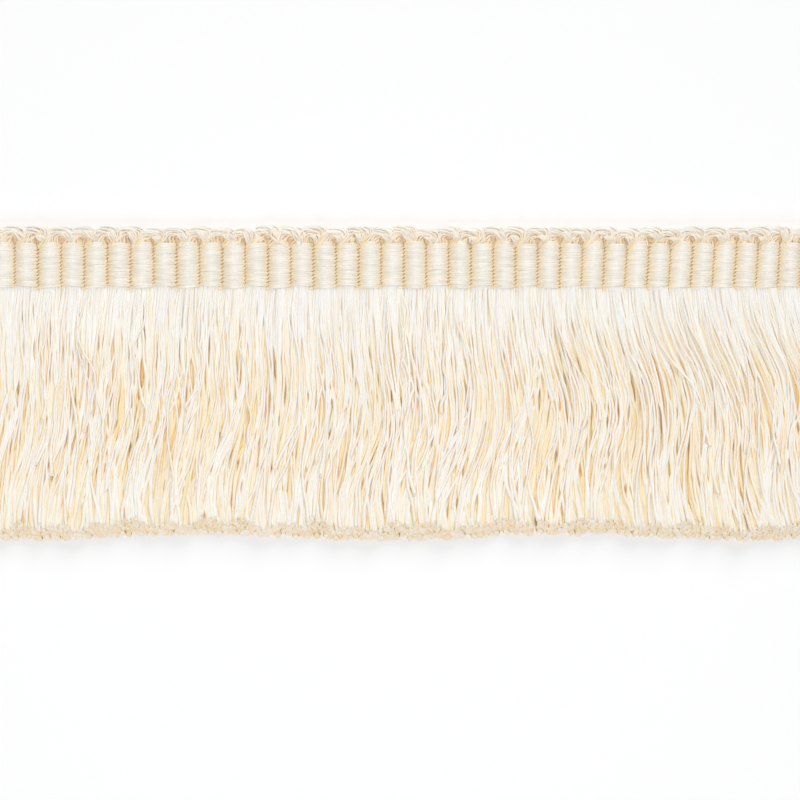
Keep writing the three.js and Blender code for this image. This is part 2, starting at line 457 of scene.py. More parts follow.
def new_mesh(name, points, corners, totals, uv, marks):
    """Puts whole arrays into a mesh: points, polygons by corner, one UV map and one colour attribute."""
    mesh = bpy.data.meshes.new(name)
    mesh.vertices.add(len(points))
    mesh.vertices.foreach_set("co", points.astype(np.float32).ravel())
    mesh.loops.add(len(corners))
    mesh.loops.foreach_set("vertex_index", corners.astype(np.int32))
    starts = np.concatenate([[0], np.cumsum(totals)[:-1]])
    mesh.polygons.add(len(starts))
    mesh.polygons.foreach_set("loop_start", starts.astype(np.int32))
    mesh.polygons.foreach_set("loop_total", totals.astype(np.int32))
    mesh.update(calc_edges=True)
    layer = mesh.uv_layers.new(name="along_yarn")
    layer.data.foreach_set("uv", uv.astype(np.float32).ravel())
    attribute = mesh.color_attributes.new("yarn", "FLOAT_COLOR", "POINT")
    attribute.data.foreach_set("color", marks.astype(np.float32).ravel())
    mesh.polygons.foreach_set("use_smooth", np.ones(len(starts), bool))
    mesh.validate()
    obj = bpy.data.objects.new(name, mesh)
    bpy.context.scene.collection.objects.link(obj)
    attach(obj, "root")
    return obj


def with_caps(rings):
    """The rings of many yarns, yarns x rings x anything, with each end ring twice: a cap has its own."""
    return np.concatenate([rings[:, :1], rings, rings[:, -1:]], axis=1)


def ring_points(path, wide, thick, angle):
    """A point of a ring is path + wide cos(a) side + thick sin(a) top.

    side is level and square to the path, and top is square to both.
    """
    along = unit(np.gradient(path, axis=1))
    side = unit(np.cross(along, [0.0, 0.0, 1.0]))
    top = np.cross(side, along)
    return (
        path[:, :, None]
        + wide[:, :, None, None] * np.cos(angle)[:, None] * side[:, :, None]
        + thick[:, :, None, None] * np.sin(angle)[:, None] * top[:, :, None]
    )


def ring_marks(marks, flank, angle):
    """Marks for each point of a ring, with a fourth that is 1 on the caps and 0 elsewhere.

    A yarn is more golden at its sides and underneath, a painted shade: by flank (1 - sin a)^1.8 above its
    middle, and by the whole flank below it.
    """
    yarns, rings, _ = marks.shape
    is_cap = np.zeros((yarns, rings + 2, 1))
    is_cap[:, [0, -1]] = 1
    marks = np.concatenate([with_caps(marks), is_cap], axis=-1)
    marks = np.repeat(marks[:, :, None], len(angle), axis=2)
    edge = (1 - np.clip(np.sin(angle), 0, 1)) ** FLANK_POWER
    flank = with_caps(np.broadcast_to(flank, (1, rings)))[..., None]
    marks[..., 1] = np.clip(marks[..., 1] + flank * edge, 0, 1)
    return marks


def corner_uv(path, angle):
    """The turn round the yarn and the distance along it in millimetres, and a disc for each cap."""
    yarns, sides = len(path), len(angle)
    distance = np.linalg.norm(np.diff(path, axis=1), axis=-1).cumsum(axis=1) / MM
    distance = np.concatenate([np.zeros((yarns, 1)), distance], axis=1)
    turn = np.arange(sides + 1) / sides
    left, right = turn[:-1], turn[1:]
    low, high = distance[:, :-1, None], distance[:, 1:, None]
    around = np.stack([left, left, right, right], axis=-1)
    down = np.stack([low, high, high, low], axis=-1)
    walls = np.stack(np.broadcast_arrays(around, down), axis=-1)
    disc = CAP_MIDDLE + CAP_RADIUS * np.stack([np.cos(angle), np.sin(angle)], axis=-1)
    return np.concatenate([walls.reshape(-1, 2), np.tile(disc, (2 * yarns, 1))])


def tubes(name, path, wide, thick, sides, marks, flank, cut=None):
    """Closed tubes round many paths at once, each ring as ring_points says.

    path is yarns x rings x 3, and wide and thick are half the width and half the thickness at each
    ring. Each end is closed by a cap with a ring of its own, so that its edge stays sharp. cut(points)
    may move the last ring, as a cut across many yarns does. marks is what yarn_marks gives, and flank,
    one number or one for each ring, is how much more golden the yarn is at its flanks: painted shade.
    """
    yarns, rings, _ = path.shape
    angle = TURN * np.arange(sides) / sides
    points = ring_points(path, wide, thick, angle)
    if cut:
        points[:, -1] = cut(points[:, -1])
    points = with_caps(points)
    index = np.arange(yarns * (rings + 2) * sides).reshape(yarns, rings + 2, sides)
    body = index[:, 1:-1]
    step = np.roll(body, -1, axis=2)
    quads = np.stack([body[:, :-1], body[:, 1:], step[:, 1:], step[:, :-1]], axis=-1)
    caps = np.stack([index[:, 0], index[:, -1, ::-1]], axis=1)
    corners = np.concatenate([quads.ravel(), caps.ravel()])
    totals = np.concatenate([np.full(quads[..., 0].size, 4), np.full(2 * yarns, sides)])
    uv = corner_uv(path, angle)
    marks = ring_marks(marks, flank, angle)
    return new_mesh(name, points.reshape(-1, 3), corners, totals, uv, marks.reshape(-1, 4))


# Heading

def squared(wave, power):
    """A sine or a cosine with its size raised to a power below one, which squares a circle off."""
    return np.sign(wave) * np.abs(wave) ** power


def core_piece():
    """The padded ribs inside the warp, one closed skin.

    Across each rib its thickness is valley + (crest - valley) sqrt(sin(pi f)), f being how far across.
    The section is a flat oval ring: front edge to edge, round the edges, and flat along the back.
    """
    place = np.arange(RIB_COUNT * CORE_STEPS + 1) / CORE_STEPS
    x = bound_line_x(place)
    swell = np.sqrt(np.abs(np.sin(np.pi * place)))
    thick = CORE_VALLEY + (CORE_CREST - CORE_VALLEY) * swell
    turn = TURN * np.arange(CORE_SIDES) / CORE_SIDES
    out = squared(np.cos(turn), CORE_SQUARE_OUT)
    up = squared(np.sin(turn), CORE_SQUARE_UP)
    middle = (upper_edge(x) + lower_edge(x)) / 2
    half = (upper_edge(x) - lower_edge(x)) / 2 - CORE_INSET
    y = middle[:, None] + half[:, None] * out
    z = CORE_LIFT + thick[:, None] * (1 + up) / 2
    points = np.stack([x[:, None] + lean(x[:, None], y), y, z], axis=-1).reshape(-1, 3)
    index = np.arange(y.size).reshape(y.shape)
    step = np.roll(index, -1, axis=1)
    quads = np.stack([index[:-1], step[:-1], step[1:], index[1:]], axis=-1)
    corners = np.concatenate([quads.ravel(), index[0, ::-1], index[-1]])
    totals = np.concatenate([np.full(quads[..., 0].size, 4), [CORE_SIDES, CORE_SIDES]])
    uv = points[corners][:, :2] / MM
    # The core is dark and wholly golden: painted shade
    marks = np.tile(CORE_MARKS, (len(points), 1))
    return new_mesh("heading_core", points, corners, totals, uv, marks)


def warp_look(over, across, near, spread):
    """How light and how golden a warp thread is, ring by ring.

    Over a rib its light is even, with a painted highlight near the crest, a bell curve of satin shine,
    more light in the column, a painted highlight, and a little painted shade beyond the crest. It is
    golden in the column and on the rib's two flanks, a painted shade. Under a rib it is dark and wholly
    golden: painted shade.
    """
    shine = SHINE * np.exp(-(((across - SHINE_AT) / SHINE_WIDE) ** 2))
    light = WARP_LIGHT + shine + COLUMN_HIGHLIGHT * (1 - spread) - SHADE * smooth(*SHADE_RANGE, across)
    in_column = COLUMN_GOLDEN_SHADE * (1 - smooth(COLUMN * COLUMN_CORE, COLUMN, near))
    on_left = LEFT_FLANK_SHADE * (1 - smooth(*LEFT_RANGE, across))
    on_right = RIGHT_FLANK_SHADE * smooth(*RIGHT_RANGE, across)
    return np.where(over, light, UNDER_SHADE_LIGHT), np.where(over, in_column + on_left + on_right, 1.0)


def warp_piece(name, parity, rng):
    """Half of the warp: every second end, two threads to an end, over one rib and under the next.

    Height is valley + s (crest - valley) over a rib and valley - s (valley - back) under it, where
    s is sin(pi f) to the power 0.55 and f is how far across the rib. Over a rib the two threads of an
    end part to cover it; at the bound line they draw together, a quarter narrower and thicker by
    three tenths, and slant. Towards the heading's edges they drop over the side of the rib.
    """
    place = np.concatenate([
        k + np.array(OVER_STEPS if k % 2 == parity else UNDER_STEPS) for k in range(RIB_COUNT)
    ])
    place = np.append(place, RIB_COUNT)
    rib = np.minimum(place.astype(int), RIB_COUNT - 1)
    over = (rib % 2) == parity
    across = place - rib
    near = np.minimum(across, 1 - across)
    spread = smooth(COLUMN_TIGHT, COLUMN, near)
    swell = np.abs(np.sin(np.pi * across)) ** WARP_ROUND
    above = WARP_VALLEY + swell * (WARP_CREST - WARP_VALLEY)
    below = WARP_VALLEY - swell * (WARP_VALLEY - WARP_BACK)
    height = np.where(over, above, below)

    ends = np.arange(parity, WARP_ENDS, 2)
    share = np.repeat((ends + 0.5) / WARP_ENDS, 2)[:, None]
    side = np.tile([-1.0, 1.0], len(ends))[:, None]
    threads = len(side)
    pitch = HEADING_HEIGHT / WARP_ENDS
    part = pitch * (THREADS_APART + THREADS_SPREAD * spread) * side
    inside = WARP_SPAN * (share - 0.5) + 0.5

    x = bound_line_x(place)
    y = lower_edge(x) + (upper_edge(x) - lower_edge(x)) * inside + part
    y = y + COLUMN_SLANT * (1 - smooth(0.0, COLUMN, near)) * np.sign(across - 0.5)
    y = y + WARP_UNEVEN_ACROSS * wander(rng, threads, place, WARP_TURNS)
    y = np.clip(y, lower_edge(x) + WARP_INSET, upper_edge(x) - WARP_INSET)
    edge = np.abs(share - 0.5) * 2
    drop = EDGE_DROP * smooth(*EDGE_DROP_RANGE, edge) * (height > WARP_VALLEY)
    z = height - drop + WARP_UNEVEN_UP * wander(rng, threads, place, WARP_TURNS)
    path = np.stack([x + lean(x, y), y, z], axis=-1)

    wide = np.broadcast_to(WARP_WIDE * (COLUMN_WIDE + (1 - COLUMN_WIDE) * spread), y.shape)
    thick = np.broadcast_to(WARP_THICK * (COLUMN_THICK + (1 - COLUMN_THICK) * spread), y.shape)
    light, golden_shade = warp_look(over, across, near, spread)
    light = light + WARP_STREAKS * wander(rng, threads, place, WARP_STREAK_TURNS)
    marks = yarn_marks(rng, light, golden_shade)
    return tubes(name, path, wide, thick, WARP_SIDES, marks, WARP_FLANK_SHADE)


# Loop edge

def through(points, count):
    """Count places on a smooth curve through points: a Catmull-Rom spline, which turns at each point
    in line with its two neighbours, sampled evenly in its own parameter.
    """
    t = np.linspace(0, len(points) - 1, count)
    i = np.minimum(t.astype(int), len(points) - 2)
    f = (t - i)[:, None]
    padded = np.concatenate([[2 * points[0] - points[1]], points, [2 * points[-1] - points[-2]]])
    a, b, c, d = (padded[i + n] for n in range(4))
    return 0.5 * (2 * b + (c - a) * f + (2 * a - 5 * b + 4 * c - d) * f**2 + (3 * b - a - 3 * c + d) * f**3)


# Arrays here are loops x yarns of a loop x rings of a yarn, and ALONG runs from 0 to 1 along a yarn
LINE = np.arange(LOOP_COUNT)[:, None, None]
LINE_X = bound_line_x(LINE)
LINE_PITCH = bound_line_x(LINE + 0.5) - bound_line_x(LINE - 0.5)
MESSY = np.isin(LINE, MESSY_LOOPS)
ALONG = np.linspace(0, 1, LOOP_STEPS)


def own(rng, size):
    """A random number round zero for each loop."""
    return rng.normal(0, size, (LOOP_COUNT, 1, 1))


def each(rng, yarns):
    """A wander for each yarn of each loop."""
    return wander(rng, LOOP_COUNT * yarns, ALONG, LOOP_TURNS).reshape(LOOP_COUNT, yarns, -1)


def leaned(x, y, z):
    """Points that lean over as the bound line behind them does."""
    return np.stack(np.broadcast_arrays(x + lean(LINE_X, y), y, z), axis=-1)


def arch_height(up, share, rise):
    """How far above the heading's edge: share of the rise where up is positive, else up in millimetres."""
    return np.where(up > 0, up * share * rise, up * MM)


def arch_yarns(rng):
    """The arch over each bound line: its yarns' middle lines and how golden they are.

    A yarn's share of the arch's line is 1.02 - w (1 - reach cos a) and its height above the table is
    middle + 0.65 reach sin a, in millimetres, each with a wander. The angle a turns on along the arch,
    so that the bundle twists like a rope. w is wide at the feet, where the yarns part to cover both
    ribs, and narrower over the top. reach is 1 for the outer yarns, about half for every third and
    small for the last, which runs inside. Feet and inner turns are the most golden, a painted shade.
    """
    out, up = through(ARCH, LOOP_STEPS).T
    rise_uneven, twist_uneven, place_uneven = ARCH_UNEVEN
    angle_wander, share_wander, golden_wander = ARCH_WANDERS
    rise = LOOP_RISE * (1 + own(rng, rise_uneven) + MESSY_RISE * (LINE == MESSY_LOOPS[1]))
    foot = np.abs(2 * ALONG - 1) ** FEET_POWER
    order = np.argsort(rng.random((LOOP_COUNT, ARCH_YARNS)), axis=1)[..., None]
    twist = TURN * (order / (ARCH_YARNS - 2) + (ARCH_TWIST + own(rng, twist_uneven)) * ALONG)
    angle = twist + angle_wander * each(rng, ARCH_YARNS)
    reach = np.where(order % 3 == 0, THIRD_REACH, 1.0)
    reach = np.where(order == ARCH_YARNS - 1, INSIDE_REACH, reach)
    half = BUNDLE_HALF + FEET_WIDER * foot
    share = OUTERMOST - half * (1 - reach * np.cos(angle)) + share_wander * each(rng, ARCH_YARNS)
    x = LINE_X + LINE_PITCH * (own(rng, place_uneven) + ARCH_WIDE * share * out)
    y = upper_edge(LINE_X) + arch_height(up, INNERMOST_RISE + (1 - INNERMOST_RISE) * share, rise)
    middle = BUNDLE_HEIGHT - FEET_LOWER * foot + END_HIGHER * ALONG
    z = middle * MM + ARCH_DEEP * reach * np.sin(angle)
    anywhere, at_feet, inside = ARCH_GOLDEN_SHADE
    golden_shade = anywhere + at_feet * foot + inside * (1 - smooth(*INNER_RANGE, share))
    return leaned(x, y, z), np.clip(golden_shade + golden_wander * each(rng, ARCH_YARNS), 0, 1)


def tuft_yarns(rng):
    """The tuft in front of each bound line: its yarns' middle lines and how golden they are.

    The yarns lie side by side round the tuft's line, widest halfway, and turn over into the rib on
    the right. In the two messy loops they stand taller, wander more and end higher.
    """
    out, up, above = through(TUFT, LOOP_STEPS).T
    tall_uneven, place_uneven, out_uneven = TUFT_UNEVEN
    spot = (np.arange(TUFT_YARNS) / (TUFT_YARNS - 1) - 0.5)[:, None]
    wide = TUFT_APART + TUFT_OPENS * np.sin(np.pi * ALONG)
    fan = spot * wide + TUFT_WANDER * (1 + MESSY_WANDER * MESSY) * each(rng, TUFT_YARNS)
    tall = TUFT_TALL + own(rng, tall_uneven) + MESSY_TALL * MESSY
    end = smooth(*MESSY_RANGE, ALONG) * MESSY
    x = LINE_X + LINE_PITCH * (own(rng, place_uneven) + out * (TUFT_OUT + own(rng, out_uneven)) + fan)
    y = upper_edge(LINE_X) + np.where(up > 0, up * tall, up) * MM
    y = y + TUFT_FAN_UP * fan - MESSY_BACK * end
    z = (above + MESSY_UP * end) * MM + TUFT_LIFT * each(rng, TUFT_YARNS)
    # Golden painted shade, more at the root
    anywhere, at_root = TUFT_GOLDEN_SHADE
    golden_shade = anywhere + at_root * (1 - smooth(*TUFT_ROOT_RANGE, ALONG))
    return leaned(x, y, z), np.broadcast_to(golden_shade, x.shape)


def low_yarns():
    """The stout yarns low under each arch, each at its own fixed share of the arch's line, wholly golden as
    painted shade.
    """
    out, up = through(ARCH, LOOP_STEPS).T
    share = np.array(LOW_SHARES)[:, None]
    x = LINE_X + LINE_PITCH * LOW_WIDE * share * out
    y = upper_edge(LINE_X) + arch_height(up, LOW_RISE + (1 - LOW_RISE) * share, LOOP_RISE)
    z = (LOW_HEIGHT + LOW_HEIGHT_UNEVEN * np.cos(LOW_HEIGHT_RATE * share)) * MM
    path = leaned(x, y, z)
    return path, np.ones(path.shape[:-1])


def loops_piece(rng):
    """The weft's turns over the upper edge: for each bound line an arch, a tuft and low yarns.

    They are tubes of one radius, a little uneven along each, and the low ones are stouter.
    """
    kinds = (arch_yarns(rng), tuft_yarns(rng), low_yarns())
    path, golden_shade = (np.concatenate(parts, axis=1) for parts in zip(*kinds))
    path = path.reshape(-1, LOOP_STEPS, 3)
    total = len(path)
    stout = np.repeat([1.0, LOW_STOUT], [ARCH_YARNS + TUFT_YARNS, len(LOW_SHARES)])
    radius = LOOP_RADIUS * (1 + RADIUS_UNEVEN * wander(rng, total, ALONG, RADIUS_TURNS))
    radius = radius * np.tile(stout, LOOP_COUNT)[:, None]
    path[..., 2] = np.maximum(path[..., 2], radius + LOOP_CLEAR)
    light = LOOP_LIGHT + LOOP_STREAKS * wander(rng, total, ALONG, LOOP_STREAK_TURNS)
    marks = yarn_marks(rng, light, golden_shade.reshape(total, -1))
    return tubes("loop_bundles", path, radius, radius * LOOP_FLAT, LOOP_SIDES, marks, LOOP_FLANK_SHADE)


# Skirt

def sweep(x, t):
    """How far the skirt has swept sideways at t: the drop times the area under its lean up to t.

    The lean is that of the left, the middle and the right, blended along the trim.
    """
    fine = np.linspace(0, 1, LEAN_STEPS + 1)
    total = 0
    towards_middle = smooth(*LEFT_TO_MIDDLE, x)
    towards_right = smooth(*MIDDLE_TO_RIGHT, x)
    shares = (1 - towards_middle, towards_middle - towards_right, towards_right)
    for share, leans in zip(shares, (LEAN_LEFT, LEAN_MIDDLE, LEAN_RIGHT)):
        slope = np.tan(np.radians(np.interp(fine, LEAN_AT, leans)))
        area = np.concatenate([[0], np.cumsum((slope[1:] + slope[:-1]) / 2)]) / LEAN_STEPS
        total = total + share * np.interp(t, fine, area)
    return SKIRT_DROP * total


def shared_drift(x, t, seed):
    """How whole locks lie: a sum of waves along x and down t, with random phases, growing with t."""
    rng = np.random.default_rng(seed)
    total = np.zeros_like(x)
    for width, turns, size in DRIFT_WAVES:
        phase = rng.uniform(0, TURN)
        total += size * MM * np.sin(TURN * (x / (width * MM) + turns * t) + phase)
    return total * smooth(*DRIFT_RANGE, t)


def skirt_paths(rng, roots, t, layer, drift_seed, reach):
    """The middle line of each yarn of a layer, from inside the rib to the cut.

    x is the root + the sweep + the drift + the pull to the middle of its lock and the lock's wander +
    a long and a short wander, a tilt and a kink of its own, about one yarn in twelve tilting far more.
    At the root a fan spreads a rib's yarns a little out over their neighbours, after a slight pull
    towards the rib's middle. Yarns at the trim's two ends stray less. y falls evenly towards the cut,
    as far as reach, the share of the drop that each yarn is long. z climbs from the rib, where it
    keeps to the rib's thickness, to its layer, and wanders.
    """
    count = len(roots)
    x0 = roots[:, None]
    stray = layer.stray * (1 - CALM * smooth(*CALM_RANGE, np.abs(x0)))
    grown = smooth(*GROWN_RANGE, t)
    down = t * reach

    edges = np.cumsum(rng.uniform(*LOCK_WIDTHS, LOCK_COUNT)) * MM - LENGTH / 2 - LOCKS_BEFORE
    middles = (edges[1:] + edges[:-1]) / 2
    lock = np.clip(np.searchsorted(edges, roots) - 1, 0, len(middles) - 1)
    pull = rng.uniform(*LOCK_PULL, len(middles))[lock, None] * (middles[lock] - roots)[:, None]
    x = x0 + sweep(x0, down)
    x = x + shared_drift(np.broadcast_to(x0, x.shape), down, drift_seed)
    x = x + pull * grown
    x = x + stray * MM * wander(rng, len(middles), t, LOCK_TURNS, LOCK_WANDER)[lock] * grown

    x = x + LONG_WANDER * stray * MM * wander(rng, count, t, LONG_TURNS) * grown
    x = x + SHORT_WANDER * wander(rng, count, t, SHORT_TURNS) * smooth(*SHORT_RANGE, t)
    tilt = rng.normal(0, TILT * stray, (count, 1))
    tilt = tilt * (1 + WILD_TILT * (rng.random((count, 1)) < WILD_SHARE))
    x = x + SKIRT_DROP * tilt * t
    kink = (t - rng.uniform(*KINK_AT, (count, 1))) / KINK_LENGTH
    x = x + KINK * rng.normal(0, 1, (count, 1)) * kink * np.exp(-kink * kink)

    place = rib_place(x0)
    side = 2 * (place - np.floor(place)) - 1
    fan = FAN * side * rng.uniform(0, 2, (count, 1)) + rng.normal(0, FAN_UNEVEN, (count, 1))
    x = x + MM * fan * smooth(*FAN_RANGE, t)
    rib_middle = bound_line_x(np.floor(place) + 0.5)
    x = x + (rib_middle - x0) * ROOT_PULL * (1 - smooth(*ROOT_PULL_RANGE, t))

    swell = np.abs(np.sin(np.pi * place)) ** ROOT_ROUND
    root = layer.root_height * MM * (ROOT_LOW + ROOT_SWELL * swell)
    z = root + (layer.down_height * MM - root) * smooth(*CLIMB_RANGE, t)
    z = z + LIFT_WANDER * wander(rng, count, t, LIFT_TURNS) * smooth(*LIFT_RANGE, t)
    start = lower_edge(x0) + ROOT_INSIDE
    y = start + (cut_y(x[:, -1:], z[:, -1:]) - start) * down
    x = x + lean(x0, y) * (1 - t)
    return np.stack(np.broadcast_arrays(x, y, z), axis=-1)


def cut_y(x, z):
    """Where the cut passes through a yarn at x and z: the hem, higher by the slant for what lies
    higher, and uneven by a few tenths of a millimetre from yarn to yarn.

    The slant itself swells and shrinks along the trim as two sine waves, so that here the ends show
    as a tall band and there the top yarns reach almost down to the hem.
    """
    uneven = sum(size * np.sin(rate * x / MM + phase) for size, rate, phase in CUT_UNEVEN)
    swell = sum((size * np.sin(TURN * x / (wave * MM) + phase) for size, wave, phase in CUT_SWELL), 1)
    return hem(x) + CUT_SLANT * swell * z + uneven * (CUT_UNEVEN_LOW + CUT_UNEVEN_RISE * z)


def cut_across(ring):
    """Tilts the last ring into the cut: a point above the yarn's middle moves up by the slant."""
    moved = ring.copy()
    height = ring[..., 2] - ring[..., 2].mean(axis=1, keepdims=True)
    moved[..., 1] += CUT_SLANT * height
    return moved


def skirt_piece(name, rng, roots, layer, drift_seed, reach=1.0):
    """One layer: its yarns' middle lines, how thick and how golden they are on the way down.

    A yarn's half width is its layer's, a little uneven, and swells towards its cut by half, or a
    little more in golden layers. It is as golden as its layer, a painted shade, but less so near the root
    and just above the cut, and its flanks are the most golden in between, painted shade at its sides.
    """
    t = np.linspace(0, 1, layer.rings)
    count = len(roots)
    path = skirt_paths(rng, roots, t, layer, drift_seed, np.broadcast_to(reach, (count, 1)))
    thin = THIN + THIN_LESS * smooth(*THIN_RANGE, t)
    from_yarn_to_yarn = rng.normal(1, YARN_UNEVEN, (count, 1))
    uneven = WIDE_UNEVEN * wander(rng, count, t, WIDE_TURNS)
    swollen = (CUT_SWOLLEN + CUT_SWOLLEN_GOLDEN * layer.golden_shade) * smooth(*CUT_SWOLLEN_RANGE, t)
    wide = YARN * layer.wide * thin * from_yarn_to_yarn * (1 + uneven + swollen)
    path[..., 2] = np.maximum(path[..., 2], wide * YARN_FLAT + TABLE_CLEAR)
    shaded = HALF_GOLDEN_SHADE * layer.golden_shade * (1 - layer.golden_shade)
    light = rng.normal(1 - shaded, LIGHT_UNEVEN, (count, 1))
    below_root = ROOT_GOLDEN_SHADE + (1 - ROOT_GOLDEN_SHADE) * smooth(*ROOT_GOLDEN_RANGE, t)
    golden_shade = layer.golden_shade * below_root * (1 - ABOVE_CUT_LESS * smooth(*ABOVE_CUT_RANGE, t))
    golden_shade = golden_shade + CUT_GOLDEN * smooth(*CUT_RANGE, t)
    golden_shade = np.clip(golden_shade + GOLDEN_WANDER * wander(rng, count, t, GOLDEN_TURNS), 0, 1)
    marks = yarn_marks(rng, light, golden_shade)
    flank = FLANK_ROOT + FLANK_MORE * smooth(*FLANK_RANGE, t) - FLANK_CUT_LESS * smooth(*CUT_RANGE, t)
    return tubes(name, path, wide, wide * YARN_FLAT, layer.sides, marks, flank, cut_across)


def skirt_pieces(rng):
    """The layers from the table up, each with its yarns side by side, and loose yarns lying on top."""
    made = []
    for number, (name, layer) in enumerate(LAYERS.items()):
        count = layer.yarns
        spot = (np.arange(count) + 0.5 + rng.uniform(-ROOT_UNEVEN, ROOT_UNEVEN, count)) / count
        roots = LENGTH * (spot - 0.5) * ROOTS_FILL
        made.append(skirt_piece(name, rng, roots, layer, DRIFT_SEED + number // DRIFT_SHARED_BY))
    count = STRAYS.yarns
    roots = np.sort(rng.uniform(-STRAYS_REACH_OUT, STRAYS_REACH_OUT, count)) * LENGTH
    is_short = rng.random((count, 1)) < SHORT_STRAYS
    reach = np.where(is_short, rng.uniform(*SHORT_REACH, (count, 1)), 1.0)
    made.append(skirt_piece("skirt_strays", rng, roots, STRAYS, STRAY_DRIFT_SEED, reach))
    return made


# Materials

# Each yarn's colours by the sockets of the spun yarn group, then its specular level and its sheen. The
# golden colour is painted shade, where yarn lies deep, under other yarns and at its flanks.
YARNS = {
    "satin_warp": dict(
        Light=(1.0, 0.965, 0.90, 1), GoldenShade=(1.0, 0.74, 0.37, 1), Cut=(0.78, 0.58, 0.36, 1),
        Filaments=3.0, Twist=0.8, Streaks=0.42, gloss=0.5, sheen=0.06,
    ),
    "loop_yarn": dict(
        Light=(0.955, 0.95, 0.92, 1), GoldenShade=(0.99, 0.81, 0.55, 1), Cut=(0.78, 0.58, 0.36, 1),
        Filaments=3.0, Twist=0.35, Streaks=0.14, gloss=0.4, sheen=0.3,
    ),
    "skirt_yarn": dict(
        Light=(0.957, 0.950, 0.937, 1), GoldenShade=(1.0, 0.754, 0.305, 1), Cut=(0.95, 0.765, 0.55, 1),
        Filaments=4.0, Twist=0.25, Streaks=0.34, gloss=0.3, sheen=0.2,
    ),
}
SHEEN_TINT = (1.0, 0.86, 0.62, 1)
SHEEN_ROUGHNESS = 0.5
FILAMENT_BUMP = 0.35
FILAMENT_DEPTH = 0.06 * MM
# Streaks: how the noise is spread round the yarn and down it, for each turn and each millimetre, and
# how far apart in the noise two yarns lie
STREAK_AROUND = 2.0
STREAK_DOWN = 0.75
STREAK_APART = 41.0
# How much a streak and a groove change the light, the groove's darkening being painted shade between
# filaments, less so in golden yarn, and the golden
STREAK_LIGHT = 0.35
GROOVE_SHADE = 0.04
GOLDEN_PLAIN = 0.75
STREAK_GOLDEN = 2.6
# The cut's pale specks: where in their noise they begin and how fast they grow, and how much the
# speckled colour covers
SPECK_FROM = 0.52
SPECK_GROWTH = 5.0
CUT_COVER = 0.9
# Streaks in the height, and the roughness without and with them
STREAK_HEIGHT = 0.8
ROUGHNESS = 0.42
STREAK_ROUGHNESS = 0.3


def join(tree, start, end):
    """Links an output to an input."""
    tree.links.new(start, end)


def node(tree, kind, **values):
    """A new node, each value set on the property or else on the input of its name."""
    made = tree.nodes.new(kind)
    for name, value in values.items():
        if hasattr(made, name):
            setattr(made, name, value)
        else:
            made.inputs[name].default_value = value
    return made


def fill(tree, slots, values):
    """Gives each input slot its value, which is a number, a colour or another node's output."""
    for slot, value in zip(slots, values):
        if isinstance(value, (int, float, tuple)):
            slot.default_value = value
        else:
            join(tree, value, slot)


def math_node(tree, operation, *values, clamp=False):
    """The result of a Math node."""
    made = node(tree, "ShaderNodeMath", operation=operation, use_clamp=clamp)
    fill(tree, made.inputs, values)
    return made.outputs[0]


def mix_color(tree, share, a, b, blend="MIX"):
    """a, with share of b mixed in or blended over it."""
    made = node(tree, "ShaderNodeMix", data_type="RGBA", blend_type=blend)
    fill(tree, (made.inputs[0], made.inputs[6], made.inputs[7]), (share, a, b))
    return made.outputs[2]


